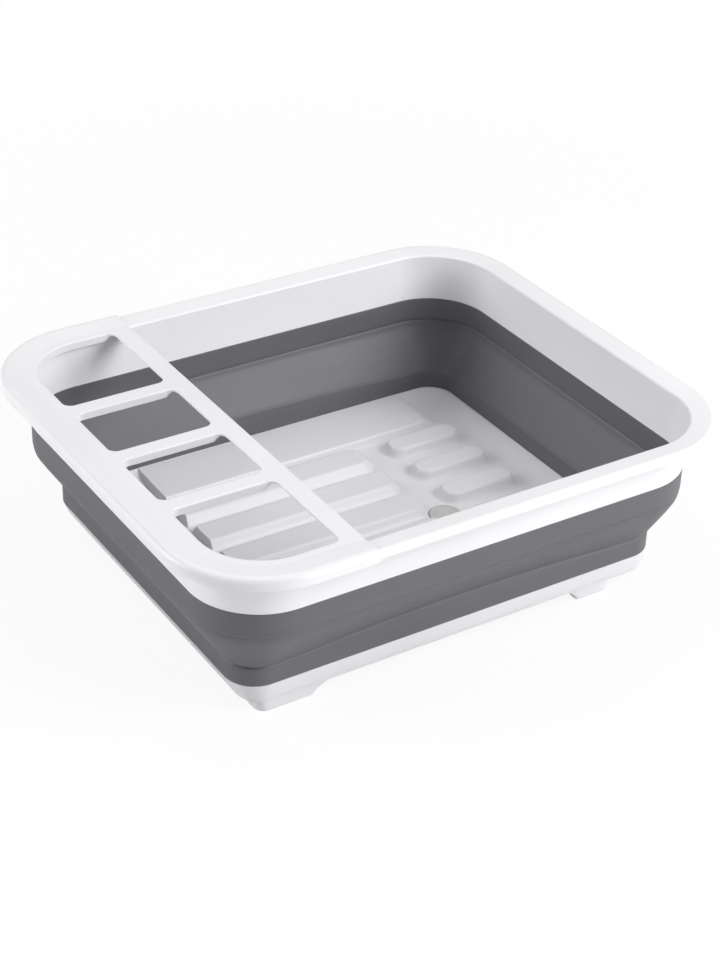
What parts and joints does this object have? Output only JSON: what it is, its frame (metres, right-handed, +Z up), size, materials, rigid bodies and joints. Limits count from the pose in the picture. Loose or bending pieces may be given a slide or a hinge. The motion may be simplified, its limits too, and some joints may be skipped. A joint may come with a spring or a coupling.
{
  "type": "foldable dish rack",
  "caption": "Foldable dish rack: white rim with a clip-over cutlery cover, grey folding wall and a white ribbed tray with a drain plug.",
  "frame": {"origin": "middle of the outer box, on the surface that the feet stand on", "axes": "+X along the long side away from the cutlery cover, +Y towards the rear, +Z up"},
  "size_m": [0.368, 0.3168, 0.1169],
  "materials": {
    "white_plastic": "glossy, moulded",
    "grey_rubber": "satin, moulded",
    "plug_rubber": "satin, moulded"
  },
  "bodies": {
    "base": {"base_tray": "white_plastic", "fold_wall": "grey_rubber"},
    "rim": {"rim_frame": "white_plastic"},
    "cover": {"cutlery_cover": "white_plastic"},
    "plug": {"drain_plug": "plug_rubber"}
  },
  "joints": [
    {"name": "rim_fold", "type": "slide", "parent": "base", "child": "rim", "axis": [0, 0, 1], "range_m": [-0.06, 0], "deforming": ["fold_wall"]},
    {"name": "cover_lift", "type": "slide", "parent": "rim", "child": "cover", "axis": [0, 0, 1], "range_m": [0, 0.05]},
    {"name": "plug_lift", "type": "slide", "parent": "base", "child": "plug", "axis": [0, 0, 1], "range_m": [0, 0.12]}
  ]
}
